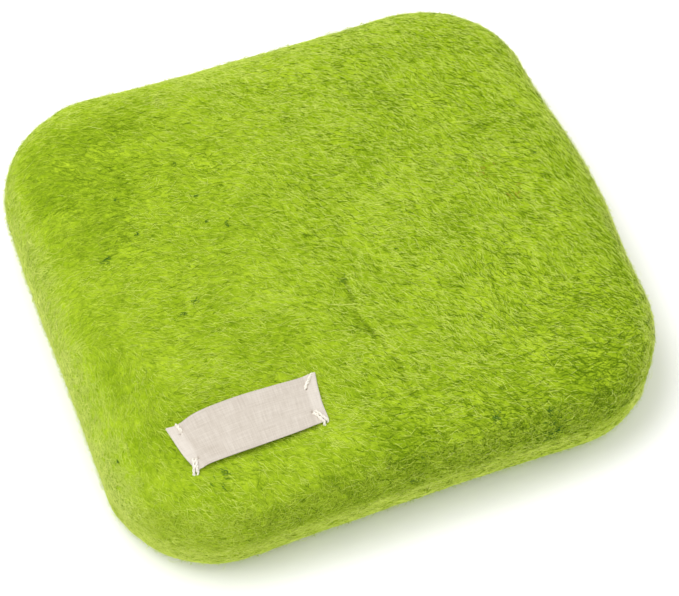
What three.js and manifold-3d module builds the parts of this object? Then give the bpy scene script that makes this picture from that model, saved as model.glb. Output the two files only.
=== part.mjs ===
// A needle felting mat: a firm foam slab wrapped in layers of felted wool, with a cloth label
// sewn to its top by the four corners.
// Millimetres. X runs across the mat, Y from its front to its back and +Z up, with the origin
// under the middle of the base.
import * as THREE from "three";
import { mergeVertices } from "three/addons/utils/BufferGeometryUtils.js";
import Module from "manifold-3d";

const wasm = await Module();
wasm.setup();

// Clearance between two pieces that lie against each other
const CLEARANCE = 0.3;

// The finished mat, at its widest outline and at the top of its crown
const MAT_WIDTH = 203;
const MAT_DEPTH = 192;
const MAT_HEIGHT = 40;
const CROWN = 2.5;
const CORNER_RADIUS = 40;

// The hand-made outline: how far its front and back are drawn in and its right side swells out midway
// between the corners, how far the back and right sides slant, and the power by which this fades inwards
const FRONT_DRAW_IN = 0.8;
const BACK_DRAW_IN = 1.2;
const RIGHT_SWELL = 4;
const BACK_SLANT = 1.7;
const RIGHT_SLANT = 1.3;
const UNEVEN_FADE = 4;

// Shoulder: where the top rounds over into the sides
const SHOULDER_REACH = 24;
const SHOULDER_POWER = 2.3;
const WIDEST_HEIGHT = 19;

// Rolled lower edge, the groove above it and the flat foot
const GROOVE_HEIGHT = 13;
const GROOVE_DEPTH = 1.4;
const FLANK_INSET = 0.35;
const ROLL_HEIGHT = 7.5;
const ROLL_INSET = 1;
const TUCK_HEIGHT = 1.5;
const TUCK_INSET = 5.3;
const FOOT_INSET = 11;

// Felt: the outer cover, and the two wraps under it
const COVER_THICKNESS = 4;
const WRAP_THICKNESS = 1.7;
const WRAP_SEAM_WIDTH = 1;
const WRAP_SEAM_MARGIN = 22;
const BASE_ROUND = 10;
const SMALLEST_ROUND = 0.8;

// Lap of the two top batts: where the upper edge shows, how far they overlap and how it slants
const LAP_EDGE_X = -3.5;
const LAP_WIDTH = 14;
const LAP_TURN = THREE.MathUtils.degToRad(8);
const LAP_SKIN = 2;

// Lap of the top felt inside the rolled edge of the base felt
const EDGE_LAP = 4;
const EDGE_LAP_SKIN = 2.6;

// Cotton label, its folded ends and its place from the left and front of the mat. The pinch is how far
// the stitches draw in each long edge at the ends, the flare how much further each end reaches at the back
// edge than in the middle, the bow how far the unsewn middle stands off the felt, highest to the left of the
// middle by its skew, and the tilt how much higher its back edge is than its front edge there.
const LABEL_LENGTH = 51;
const LABEL_WIDTH = 19;
const LABEL_FROM_LEFT = 50.7;
const LABEL_FROM_FRONT = 30.8;
const LABEL_TURN = THREE.MathUtils.degToRad(1.2);
const LABEL_PINCH = 0.4;
const LABEL_FLARE = 1.5;
const LABEL_BOW = 1.6;
const LABEL_BOW_SKEW = 0.6;
const LABEL_TILT = 2.2;
const TAPE_THICKNESS = 0.45;
const HEM_LENGTH = 7.5;

// Corner stitches: turns of thick thread through the hem, over the long edge of the label.
// The slack is the gap between thread and label, and the bend the share of a stitch's span in which
// the thread turns over or under.
const THREAD_DIAMETER = 0.9;
const STITCH_PITCH = 1.3;
const STITCH_DEPTH = 2;
const STITCH_TAIL = 0.5;
const STITCH_SLACK = 0.4;
const STITCH_BEND = 0.2;

// Each corner as it is sewn by hand: which corner, the hole from the end and edge of the label, how far past
// the edge the thread goes down, how it leans, how many turns it makes and how far these spread
const CORNER_STITCHES = {
  stitch_front_left: {
    end: -1, side: -1, fromEnd: 3.6, fromEdge: 3, overhang: 1.9, lean: 16, turns: 2, fan: 0,
  },
  stitch_front_right: {
    end: 1, side: -1, fromEnd: 4.2, fromEdge: 4.2, overhang: 1.6, lean: 34, turns: 2, fan: 1.4,
  },
  stitch_back_left: {
    end: -1, side: 1, fromEnd: 3.2, fromEdge: 3.8, overhang: 1.5, lean: 0, turns: 1, fan: 0,
  },
  stitch_back_right: {
    end: 1, side: 1, fromEnd: 3.8, fromEdge: 4.3, overhang: 1.6, lean: 42, turns: 1, fan: 0,
  },
};

// Facets
const CORNER_STEPS = 6;
const SIDE_STEPS = 4;
const SHOULDER_STEPS = 5;
const BASE_STEPS = 3;
const TOP_STEPS = 2;
const INNERMOST_RADIUS = 6;
const LABEL_STEPS = 12;
const LABEL_ROWS = 2;
const FOLD_STEPS = 3;
const THREAD_SIDES = 5;
const TURN_STEPS = 11;
const MERGE_DISTANCE = 1e-4;

const halfWidth = MAT_WIDTH / 2;
const halfDepth = MAT_DEPTH / 2;
const farReach = MAT_WIDTH + MAT_DEPTH + MAT_HEIGHT;

// Depth of each layer's outer face below the surface of the mat
const coverInside = COVER_THICKNESS;
const outerWrapOutside = coverInside + CLEARANCE;
const outerWrapInside = outerWrapOutside + WRAP_THICKNESS;
const innerWrapOutside = outerWrapInside + CLEARANCE;
const innerWrapInside = innerWrapOutside + WRAP_THICKNESS;
const coreOutside = innerWrapInside + CLEARANCE;

const limeFelt = new THREE.MeshStandardMaterial({ color: 0x9dbb2e, roughness: 0.95, metalness: 0 });
const paleFelt = new THREE.MeshStandardMaterial({ color: 0xb3c95a, roughness: 0.95, metalness: 0 });
const foam = new THREE.MeshStandardMaterial({ color: 0xe6dfc8, roughness: 0.9, metalness: 0 });
const cotton = new THREE.MeshStandardMaterial({ color: 0xd9cfc0, roughness: 0.9, metalness: 0 });
const thread = new THREE.MeshStandardMaterial({ color: 0xf0ebdf, roughness: 0.8, metalness: 0 });

// Solids for joining and cutting

function solidOf(geometry) {
  const bare = geometry.clone();
  bare.deleteAttribute("normal");
  bare.deleteAttribute("uv");
  const merged = mergeVertices(bare, MERGE_DISTANCE);
  const vertProperties = new Float32Array(merged.attributes.position.array);
  const triVerts = new Uint32Array(merged.index.array);
  return new wasm.Manifold(new wasm.Mesh({ numProp: 3, vertProperties, triVerts }));
}

function geometryOf(solid) {
  const mesh = solid.getMesh();
  const geometry = new THREE.BufferGeometry();
  geometry.setAttribute("position", new THREE.BufferAttribute(mesh.vertProperties, 3));
  geometry.setIndex(new THREE.BufferAttribute(mesh.triVerts, 1));
  geometry.computeVertexNormals();
  return geometry;
}

// The large block that holds everything to the +X side of a slanted upright plane
function rightOf(x) {
  const geometry = new THREE.BoxGeometry(farReach, 2 * farReach, 2 * farReach);
  geometry.translate(farReach / 2, 0, 0);
  geometry.rotateZ(LAP_TURN);
  geometry.translate(x, 0, 0);
  return solidOf(geometry);
}

// The large block that holds everything above a level plane
function above(z) {
  const geometry = new THREE.BoxGeometry(2 * farReach, 2 * farReach, farReach);
  geometry.translate(0, 0, z + farReach / 2);
  return solidOf(geometry);
}

// Shape of the mat

// Rise of the crown over a point of the plan
function crownAt(x, y) {
  return CROWN * (1 - (x / halfWidth) ** 2) * (1 - (y / halfDepth) ** 2);
}

// Share of the full draw-in or swell at a place along a side: none from where its corners start
function midShare(along, half) {
  const straight = half - CORNER_RADIUS;
  return Math.abs(along) < straight ? Math.cos((Math.PI * along) / (2 * straight)) ** 2 : 0;
}

// Moves a point of the plan with the uneven side nearest to it
function handMade(x, y) {
  const right = RIGHT_SWELL * midShare(y, halfDepth) + (RIGHT_SLANT * y) / halfDepth;
  const back = -BACK_DRAW_IN * midShare(x, halfWidth) - (BACK_SLANT * x) / halfWidth;
  const front = FRONT_DRAW_IN * midShare(x, halfWidth);
  const nearX = Math.abs(x / halfWidth) ** UNEVEN_FADE;
  const nearY = Math.abs(y / halfDepth) ** UNEVEN_FADE;
  return [x + (x > 0 ? right * nearX : 0), y + (y > 0 ? back : front) * nearY];
}

// The round-cornered outline of the mat at an inset, as points of the plan before it is made uneven
function outline(inset) {
  const radius = Math.max(CORNER_RADIUS - inset, INNERMOST_RADIUS);
  const cornerX = halfWidth - inset - radius;
  const cornerY = halfDepth - inset - radius;
  const corners = [[cornerX, cornerY], [-cornerX, cornerY], [-cornerX, -cornerY], [cornerX, -cornerY]];
  const points = [];
  corners.forEach(([x, y], quarter) => {
    for (let step = 0; step <= CORNER_STEPS; step++) {
      const angle = ((quarter + step / CORNER_STEPS) * Math.PI) / 2;
      points.push([x + radius * Math.cos(angle), y + radius * Math.sin(angle)]);
    }
    const last = points.at(-1);
    const [nextX, nextY] = corners[(quarter + 1) % 4];
    const turn = ((quarter + 1) * Math.PI) / 2;
    const next = [nextX + radius * Math.cos(turn), nextY + radius * Math.sin(turn)];
    for (let step = 1; step < SIDE_STEPS; step++) {
      const share = step / SIDE_STEPS;
      points.push([last[0] + (next[0] - last[0]) * share, last[1] + (next[1] - last[1]) * share]);
    }
  });
  return points;
}

// Insets and heights of the side, from the foot up to the widest outline
function flankProfile(skin) {
  if (skin === 0) {
    return [
      [FOOT_INSET, 0],
      [TUCK_INSET, TUCK_HEIGHT],
      [ROLL_INSET, ROLL_HEIGHT],
      [GROOVE_DEPTH, GROOVE_HEIGHT],
      [FLANK_INSET, (GROOVE_HEIGHT + WIDEST_HEIGHT) / 2],
      [0, WIDEST_HEIGHT],
    ];
  }
  const round = Math.max(BASE_ROUND - skin, SMALLEST_ROUND);
  const profile = [];
  for (let step = 0; step <= BASE_STEPS; step++) {
    const angle = (step / BASE_STEPS) * (Math.PI / 2);
    profile.push([skin + round * (1 - Math.sin(angle)), skin + round * (1 - Math.cos(angle))]);
  }
  profile.push([skin, WIDEST_HEIGHT]);
  return profile;
}

// Height that the shoulder reaches at an inset, from 0 at the widest outline to 1 on the top
function shoulderShare(inset, reach) {
  const left = Math.max(1 - inset / reach, 0);
  return (1 - left ** SHOULDER_POWER) ** (1 / SHOULDER_POWER);
}

// The mat's solid form at a depth below its surface: a lofted slab with a crown and uneven sides
function matForm(skin) {
  const rise = MAT_HEIGHT - CROWN - WIDEST_HEIGHT - skin;
  const reach = SHOULDER_REACH - skin;
  const rings = flankProfile(skin).map(([inset, z]) => ({ inset, z, crown: 0 }));
  for (let step = 1; step <= SHOULDER_STEPS; step++) {
    const along = reach * (1 - Math.cos((step / SHOULDER_STEPS) * (Math.PI / 2)));
    const share = shoulderShare(along, reach);
    rings.push({ inset: skin + along, z: WIDEST_HEIGHT + rise * share, crown: share });
  }
  const middle = Math.min(halfWidth, halfDepth);
  for (let step = 1; step <= TOP_STEPS; step++) {
    const inset = SHOULDER_REACH + ((middle - SHOULDER_REACH) * step) / (TOP_STEPS + 1);
    rings.push({ inset, z: WIDEST_HEIGHT + rise, crown: 1 });
  }

  const positions = [0, 0, rings[0].z];
  const faces = [];
  rings.forEach(({ inset, z, crown }) => {
    outline(inset).forEach(([x, y]) => {
      positions.push(...handMade(x, y), z + crown * crownAt(x, y));
    });
  });
  positions.push(0, 0, MAT_HEIGHT - skin);

  const count = outline(0).length;
  const top = rings.length * count + 1;
  for (let point = 0; point < count; point++) {
    const next = (point + 1) % count;
    faces.push(0, 1 + next, 1 + point);
    for (let ring = 0; ring + 1 < rings.length; ring++) {
      const low = 1 + ring * count;
      const high = low + count;
      faces.push(low + point, low + next, high + next);
      faces.push(low + point, high + next, high + point);
    }
    const last = 1 + (rings.length - 1) * count;
    faces.push(last + point, last + next, top);
  }
  const geometry = new THREE.BufferGeometry();
  geometry.setAttribute("position", new THREE.Float32BufferAttribute(positions, 3));
  geometry.setIndex(faces);
  return solidOf(geometry);
}

// Height of the mat's top at a point of the plan
function topHeight(x, y) {
  const overX = Math.abs(x) - halfWidth + CORNER_RADIUS;
  const overY = Math.abs(y) - halfDepth + CORNER_RADIUS;
  const outside = Math.hypot(Math.max(overX, 0), Math.max(overY, 0));
  const inset = CORNER_RADIUS - outside - Math.min(Math.max(overX, overY), 0);
  const share = shoulderShare(inset, SHOULDER_REACH);
  return WIDEST_HEIGHT + (MAT_HEIGHT - CROWN - WIDEST_HEIGHT + crownAt(x, y)) * share;
}

// Foam and wool

// A wool batt wrapped right round what it holds, its two edges meeting in a seam under the base
function woolWrap(outside, inside, seamAlongX) {
  const length = (seamAlongX ? MAT_WIDTH : MAT_DEPTH) - 2 * WRAP_SEAM_MARGIN;
  const seam = new THREE.BoxGeometry(length, WRAP_SEAM_WIDTH, WRAP_THICKNESS + 2 * CLEARANCE);
  if (!seamAlongX) seam.rotateZ(Math.PI / 2);
  seam.translate(0, 0, (outside + inside) / 2);
  return matForm(outside).subtract(matForm(inside)).subtract(solidOf(seam));
}

// The outer cover: a base felt with a rolled edge and two top batts, the right one lapped over the left
function feltCover() {
  const shell = matForm(0).subtract(matForm(coverInside));
  const aboveRoll = above(GROOVE_HEIGHT);
  const aboveRollGap = above(GROOVE_HEIGHT + CLEARANCE);
  const aboveLap = above(GROOVE_HEIGHT - EDGE_LAP);
  const aboveLapGap = above(GROOVE_HEIGHT - EDGE_LAP + CLEARANCE);

  const behindRoll = matForm(EDGE_LAP_SKIN).intersect(aboveLap);
  const base = shell.subtract(aboveRoll).subtract(behindRoll);
  const tongue = shell.intersect(matForm(EDGE_LAP_SKIN + CLEARANCE)).intersect(aboveLapGap);
  const top = shell.intersect(aboveRollGap).add(tongue);

  const lapEnd = LAP_EDGE_X + LAP_WIDTH;
  const lowerStep = rightOf(LAP_EDGE_X - CLEARANCE).subtract(matForm(LAP_SKIN + CLEARANCE));
  const left = top.subtract(rightOf(lapEnd - CLEARANCE)).subtract(lowerStep);
  const underLap = matForm(LAP_SKIN).subtract(rightOf(lapEnd));
  const right = top.intersect(rightOf(LAP_EDGE_X)).subtract(underLap);
  return { base, left, right };
}

// Label and stitches

const labelX = -halfWidth + LABEL_FROM_LEFT;
const labelY = -halfDepth + LABEL_FROM_FRONT;

// A point of the label, along it, across it and above the felt, as a point of the mat
function labelPoint(along, across, lift) {
  const x = labelX + along * Math.cos(LABEL_TURN) - across * Math.sin(LABEL_TURN);
  const y = labelY + along * Math.sin(LABEL_TURN) + across * Math.cos(LABEL_TURN);
  return new THREE.Vector3(x, y, topHeight(x, y) + CLEARANCE + lift);
}

// Share of the full bow at a place along the label: none at the sewn ends
function bowShare(along) {
  const free = LABEL_LENGTH / 2 - HEM_LENGTH;
  if (Math.abs(along) >= free) return 0;
  const share = (along + free) / (2 * free);
  return Math.sin(Math.PI * share ** LABEL_BOW_SKEW) ** 2;
}

// Share of the label's full width at a place along it: drawn in towards the sewn ends
function labelNarrowing(along) {
  return 1 - (2 * LABEL_PINCH * (2 * along / LABEL_LENGTH) ** 2) / LABEL_WIDTH;
}

// Points on an arc about a centre, both ends included
function arcPoints(x, y, radius, from, to) {
  const points = [];
  for (let step = 0; step <= FOLD_STEPS; step++) {
    const angle = from + ((to - from) * step) / FOLD_STEPS;
    points.push(new THREE.Vector2(x + radius * Math.cos(angle), y + radius * Math.sin(angle)));
  }
  return points;
}

// Points along one face of the label between its folds, both folds left out
function facePoints(from, to, lift) {
  const points = [];
  for (let step = 1; step < LABEL_STEPS; step++) {
    const along = from + ((to - from) * step) / LABEL_STEPS;
    points.push(new THREE.Vector2(along, lift + LABEL_BOW * bowShare(along)));
  }
  return points;
}

// Plain tape with its two ends folded under, bent to the felt it lies on
function labelTape() {
  const quarter = Math.PI / 2;
  const foldOutside = TAPE_THICKNESS + CLEARANCE / 2;
  const foldInside = CLEARANCE / 2;
  const foldX = LABEL_LENGTH / 2 - foldOutside;
  const hemX = LABEL_LENGTH / 2 - HEM_LENGTH;
  const edge = new THREE.Shape([
    new THREE.Vector2(-hemX, 0),
    ...arcPoints(-foldX, foldOutside, foldOutside, -quarter, -3 * quarter),
    ...facePoints(-foldX, foldX, 2 * foldOutside),
    ...arcPoints(foldX, foldOutside, foldOutside, quarter, -quarter),
    new THREE.Vector2(hemX, 0),
    new THREE.Vector2(hemX, TAPE_THICKNESS),
    ...arcPoints(foldX, foldOutside, foldInside, -quarter, quarter),
    ...facePoints(foldX, -foldX, TAPE_THICKNESS + CLEARANCE),
    ...arcPoints(-foldX, foldOutside, foldInside, quarter, 3 * quarter),
    new THREE.Vector2(-hemX, TAPE_THICKNESS),
  ]);
  const tape = new THREE.ExtrudeGeometry(edge, {
    depth: LABEL_WIDTH,
    steps: LABEL_ROWS,
    bevelEnabled: false,
  });
  const position = tape.attributes.position;
  for (let index = 0; index < position.count; index++) {
    const along = position.getX(index);
    const across = (LABEL_WIDTH / 2 - position.getZ(index)) * labelNarrowing(along);
    const flare = 1 + (LABEL_FLARE * across) / ((LABEL_LENGTH / 2) * (LABEL_WIDTH / 2));
    const tilt = LABEL_TILT * bowShare(along) * (across / LABEL_WIDTH);
    const point = labelPoint(along * flare, across, position.getY(index) + tilt);
    position.setXYZ(index, point.x, point.y, point.z);
  }
  return solidOf(tape);
}

// The thread of one corner: up through the hole, over the long edge, down into the felt and back
function stitchPath({ end, side, fromEnd, fromEdge, overhang, lean, turns, fan }, tail) {
  const leanAngle = THREE.MathUtils.degToRad(lean);
  const out = new THREE.Vector2(end * Math.sin(leanAngle), side * Math.cos(leanAngle));
  const beside = new THREE.Vector2(Math.cos(leanAngle), -end * side * Math.sin(leanAngle));
  const along = end * (LABEL_LENGTH / 2 - fromEnd);
  const edge = (LABEL_WIDTH / 2) * labelNarrowing(along);
  const hole = new THREE.Vector2(along, side * (edge - fromEdge));
  const span = (fromEdge + overhang) / Math.cos(leanAngle);
  const over = 2 * TAPE_THICKNESS + CLEARANCE + STITCH_SLACK + THREAD_DIAMETER / 2;
  const points = [];
  const put = (turn, share, lift) => {
    const shift = (turn - (turns - 1) / 2) * (STITCH_PITCH + fan * share);
    const place = hole.clone().addScaledVector(out, span * share).addScaledVector(beside, shift);
    points.push(labelPoint(place.x, place.y, lift));
  };
  for (let turn = 0; turn < turns; turn++) {
    put(turn, 0, turn === 0 ? -STITCH_DEPTH - tail : -STITCH_DEPTH + THREAD_DIAMETER);
    put(turn, 0, over - THREAD_DIAMETER);
    put(turn, STITCH_BEND, over);
    put(turn, 1 / 2, over);
    put(turn, 1 - STITCH_BEND, over);
    put(turn, 1, over - THREAD_DIAMETER);
    if (turn + 1 < turns) {
      put(turn, 1, -STITCH_DEPTH + THREAD_DIAMETER);
      put(turn, 1 - STITCH_BEND, -STITCH_DEPTH);
      put(turn + 1, STITCH_BEND, -STITCH_DEPTH);
    } else {
      put(turn, 1, -STITCH_DEPTH - tail);
    }
  }
  return new THREE.CatmullRomCurve3(points);
}

// The way of a thread through felt and label: one tube for each turn, since the tubes of two turns may run
// into each other
function stitchChannels(corner) {
  const points = stitchPath(corner, STITCH_TAIL + CLEARANCE).getSpacedPoints(corner.turns * TURN_STEPS);
  const channels = [];
  for (let turn = 0; turn < corner.turns; turn++) {
    const part = points.slice(Math.max(turn * TURN_STEPS - 1, 0), (turn + 1) * TURN_STEPS + 1);
    const path = new THREE.CatmullRomCurve3(part);
    channels.push(threadTube(path, THREAD_DIAMETER + 2 * CLEARANCE, part.length - 1));
  }
  return channels;
}

function threadTube(path, diameter, steps) {
  const section = new THREE.Shape();
  for (let side = 0; side < THREAD_SIDES; side++) {
    const angle = (2 * Math.PI * side) / THREAD_SIDES;
    const x = (diameter / 2) * Math.cos(angle);
    const y = (diameter / 2) * Math.sin(angle);
    if (side === 0) section.moveTo(x, y);
    else section.lineTo(x, y);
  }
  section.closePath();
  return solidOf(new THREE.ExtrudeGeometry(section, { extrudePath: path, steps }));
}

// Assembly

const mat = new THREE.Group();

// The sides are uneven, so every piece moves by what brings the origin under the middle of the box
const { min, max } = matForm(0).boundingBox();
const toMiddle = [-(min[0] + max[0]) / 2, -(min[1] + max[1]) / 2, 0];

function addPiece(name, solid, material) {
  const mesh = new THREE.Mesh(geometryOf(solid.translate(toMiddle)), material);
  mesh.name = name;
  mat.add(mesh);
}

const cover = feltCover();
let label = labelTape();
let topLeft = cover.left;
for (const [name, corner] of Object.entries(CORNER_STITCHES)) {
  for (const channel of stitchChannels(corner)) {
    label = label.subtract(channel);
    topLeft = topLeft.subtract(channel);
  }
  const path = stitchPath(corner, STITCH_TAIL);
  addPiece(name, threadTube(path, THREAD_DIAMETER, corner.turns * TURN_STEPS), thread);
}

addPiece("foam_core", matForm(coreOutside), foam);
addPiece("inner_wool_wrap", woolWrap(innerWrapOutside, innerWrapInside, true), paleFelt);
addPiece("outer_wool_wrap", woolWrap(outerWrapOutside, outerWrapInside, false), paleFelt);
addPiece("base_felt", cover.base, limeFelt);
addPiece("top_felt_left", topLeft, limeFelt);
addPiece("top_felt_right", cover.right, limeFelt);
addPiece("label_tape", label, cotton);

export default mat;
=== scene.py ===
# A needle felting mat: a foam slab in layers of felted lime wool, with a bare cotton label sewn on top.
from math import atan2, copysign, cos, exp, hypot, pi, radians, sin

import bmesh
import bpy
import numpy as np
from mathutils import Matrix, Vector, noise
from mathutils.bvhtree import BVHTree


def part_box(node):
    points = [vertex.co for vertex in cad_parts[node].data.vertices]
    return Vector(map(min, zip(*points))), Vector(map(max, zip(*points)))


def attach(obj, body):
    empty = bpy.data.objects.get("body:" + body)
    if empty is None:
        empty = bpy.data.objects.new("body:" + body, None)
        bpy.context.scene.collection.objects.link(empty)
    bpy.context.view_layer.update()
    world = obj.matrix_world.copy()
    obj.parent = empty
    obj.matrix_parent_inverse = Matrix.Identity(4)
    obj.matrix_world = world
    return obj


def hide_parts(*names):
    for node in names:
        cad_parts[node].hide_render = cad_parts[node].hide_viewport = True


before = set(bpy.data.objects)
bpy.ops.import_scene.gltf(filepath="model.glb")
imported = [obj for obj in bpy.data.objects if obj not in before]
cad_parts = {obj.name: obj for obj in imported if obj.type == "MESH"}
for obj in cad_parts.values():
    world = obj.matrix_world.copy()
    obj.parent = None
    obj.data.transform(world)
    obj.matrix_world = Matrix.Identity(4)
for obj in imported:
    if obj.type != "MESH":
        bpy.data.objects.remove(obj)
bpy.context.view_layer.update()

MM = 0.001

# Shape of the mat, as in the part's source
HALF_WIDTH = 101.5 * MM
HALF_DEPTH = 96 * MM
MAT_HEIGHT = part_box("top_felt_right")[1].z
GROOVE_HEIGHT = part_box("base_felt")[1].z
CROWN = 2.5 * MM
CORNER_RADIUS = 40 * MM
FRONT_DRAW_IN = 0.8 * MM
BACK_DRAW_IN = 1.2 * MM
RIGHT_SWELL = 4 * MM
BACK_SLANT = 1.7 * MM
RIGHT_SLANT = 1.3 * MM
UNEVEN_FADE = 4
SHOULDER_REACH = 24 * MM
SHOULDER_POWER = 2.3
WIDEST_HEIGHT = 19 * MM
GROOVE_DEPTH = 1.4 * MM
FLANK_INSET = 0.35 * MM
ROLL_HEIGHT = 7.5 * MM
ROLL_INSET = 1 * MM
TUCK_HEIGHT = 1.5 * MM
TUCK_INSET = 5.3 * MM
FOOT_INSET = 11 * MM
BASE_ROUND = 10 * MM
SMALLEST_ROUND = 0.8 * MM
CLEARANCE = 0.3 * MM

# The uneven sides put the middle of the mat's corners beside the middle of its box, which is the origin
felt_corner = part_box("top_felt_left")[0]
BESIDE_ORIGIN = Vector((felt_corner.x + HALF_WIDTH, felt_corner.y + HALF_DEPTH, 0))

# Layers: the felt cover, its laps, the wraps under it and the foam
COVER_THICKNESS = 3.7 * MM
LAP_EDGE_X = -3.5 * MM
LAP_WIDTH = 14 * MM
LAP_TURN = radians(8)
LAP_SKIN = 2 * MM
LAP_EDGE_THICKNESS = 0.15 * MM
LAP_FEATHER = 6 * MM
EDGE_LAP = 4 * MM
EDGE_LAP_SKIN = 2.6 * MM
TONGUE_TOP = GROOVE_HEIGHT + 1.2 * CLEARANCE
TONGUE_WALL = 0.3
OUTER_WRAP_SKIN = 4.3 * MM
INNER_WRAP_SKIN = 6.3 * MM
FOAM_SKIN = 8.3 * MM
WRAP_THICKNESS = 1.7 * MM
WRAP_SEAM_WIDTH = 1 * MM
WRAP_SEAM_MARGIN = 22 * MM

# Label and stitches, as in the part's source
LABEL_LENGTH = 51 * MM
LABEL_WIDTH = 19 * MM
LABEL_X = -HALF_WIDTH + 50.7 * MM
LABEL_Y = -HALF_DEPTH + 30.8 * MM
LABEL_TURN = radians(1.2)
LABEL_PINCH = 0.4 * MM
LABEL_FLARE = 1.5 * MM
LABEL_BOW = 1.6 * MM
LABEL_TILT = 2.2 * MM
TAPE_THICKNESS = 0.45 * MM
HEM_LENGTH = 7.5 * MM
STITCH_PITCH = 1.3 * MM
STITCH_DEPTH = 2 * MM

# Each sewn corner: which one, where its hole is from the label's end and edge, how far the thread runs to
# the edge and past it, its lean in degrees, its turns and how far these spread
CORNER_STITCHES = {
    "stitch_front_left": dict(end=-1, side=-1, hole=(3.6, 3), run=(3.1, 1.4), lean=16, turns=2, fan=0),
    "stitch_front_right": dict(end=1, side=-1, hole=(4.2, 4.6), run=(4.6, 0.6), lean=28, turns=2, fan=0.3),
    "stitch_back_left": dict(end=-1, side=1, hole=(3, 4.2), run=(3.2, 0.5), lean=12, turns=1, fan=0),
    "stitch_back_right": dict(end=1, side=1, hole=(3.8, 4.3), run=(5.6, 1.5), lean=42, turns=1, fan=0),
}


def srgb(*levels):
    """A colour from 0 to 255 as a shader takes it."""
    shares = [level / 255 for level in levels]
    return (*(s / 12.92 if s < 0.04045 else ((s + 0.055) / 1.055) ** 2.4 for s in shares), 1)


def smooth_share(value, low, high):
    """0 below low, 1 above high and a smooth step between."""
    share = min(max((value - low) / (high - low), 0), 1)
    return share * share * (3 - 2 * share)


def bump(value, middle, width):
    """A soft hill of height 1 round a middle."""
    return exp(-(((value - middle) / width) ** 2))


def lumps(place, size, seed):
    """Soft random rises and dips about 0, of a size in millimetres."""
    return noise.noise(place / (size * MM) + Vector(seed))


# Materials


def new_material(name):
    material = bpy.data.materials.new(name)
    material.use_nodes = True
    tree = material.node_tree
    return material, tree, tree.nodes["Principled BSDF"]


def fill(tree, node, values):
    """Sets inputs of a node, or links them where the value is another node's output."""
    for name, value in values.items():
        if isinstance(value, bpy.types.NodeSocket):
            tree.links.new(value, node.inputs[name])
        else:
            node.inputs[name].default_value = value


def add_node(tree, kind, values=None, **settings):
    node = tree.nodes.new("ShaderNode" + kind)
    for key, value in settings.items():
        setattr(node, key, value)
    fill(tree, node, values or {})
    return node


def mapped(tree, places, scale, turn=0, shift=(0, 0, 0)):
    """Places scaled, turned about the upright and shifted."""
    values = {"Vector": places, "Scale": scale, "Rotation": (0, 0, turn), "Location": shift}
    return add_node(tree, "Mapping", values).outputs["Vector"]


def object_places(tree, scale=(1, 1, 1), turn=0, shift=(0, 0, 0)):
    """Object coordinates, scaled, turned about the upright and shifted."""
    return mapped(tree, add_node(tree, "TexCoord").outputs["Object"], scale, turn, shift)


def own_map(tree):
    """A piece's own UV map, and its first coordinate alone."""
    places = add_node(tree, "UVMap", uv_map="OFBake").outputs["UV"]
    return places, add_node(tree, "SeparateXYZ", {"Vector": places}).outputs["X"]


def seen_rays(tree):
    """1 for what the camera sees, also in a mirror or through glass, and 0 for what lights the mat."""
    rays = add_node(tree, "LightPath").outputs
    seen = add_math(tree, "MAXIMUM", rays["Is Camera Ray"], rays["Is Glossy Ray"])
    return add_math(tree, "MAXIMUM", seen, rays["Is Transmission Ray"])


def add_noise(tree, places, scale, detail=3):
    values = {"Vector": places, "Scale": scale, "Detail": detail, "Roughness": 0.55}
    return add_node(tree, "TexNoise", values).outputs["Fac"]


def add_math(tree, operation, *values):
    return add_node(tree, "Math", dict(enumerate(values)), operation=operation).outputs["Value"]


def soft_step(tree, value, low, high, at_low, at_high):
    """One value below low, another above high and a smooth step between."""
    values = {"Value": value, "From Min": low, "From Max": high, "To Min": at_low, "To Max": at_high}
    return add_node(tree, "MapRange", values, interpolation_type="SMOOTHSTEP").outputs["Result"]


def add_ramp(tree, factor, stops):
    node = add_node(tree, "ValToRGB", {"Fac": factor})
    elements = node.color_ramp.elements
    while len(elements) < len(stops):
        elements.new(0.5)
    for element, (place, colour) in zip(elements, stops):
        element.position = place
        element.color = colour
    return node.outputs["Color"]


def add_bump(tree, shader, height, strength, distance):
    values = {"Height": height, "Strength": strength, "Distance": distance}
    fill(tree, shader, {"Normal": add_node(tree, "Bump", values).outputs["Normal"]})


def matt(tree, shader, colour, roughness, fuzzy=False):
    """A dull surface; a fuzzy one has the pale sheen that fine fibres show at a glancing view."""
    fill(tree, shader, {"Base Color": colour, "Roughness": roughness, "Specular IOR Level": 0.05})
    if fuzzy:
        fill(tree, shader, {"Sheen Weight": 0.05, "Sheen Roughness": 0.5, "Sheen Tint": FUZZ_COLOUR})


FUZZ_COLOUR = srgb(238, 250, 170)
COTTON_DEEP = srgb(186, 175, 161)
COTTON_PALE = srgb(220, 212, 201)
FOAM_DEEP = srgb(196, 184, 152)
FOAM_PALE = srgb(236, 227, 200)
THREAD_DEEP = srgb(214, 206, 188)
THREAD_PALE = srgb(246, 242, 232)
PAPER = (0.97, 0.965, 0.945, 1)
PAPER_LIFT = (0.93, 0.93, 1, 1)
LIFT_FROM = 1
LIFT_TO = 1.26
FULL_LIFT = 0.34
LIFT_SHIFT = (-0.05, 0.05, 0)


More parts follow.
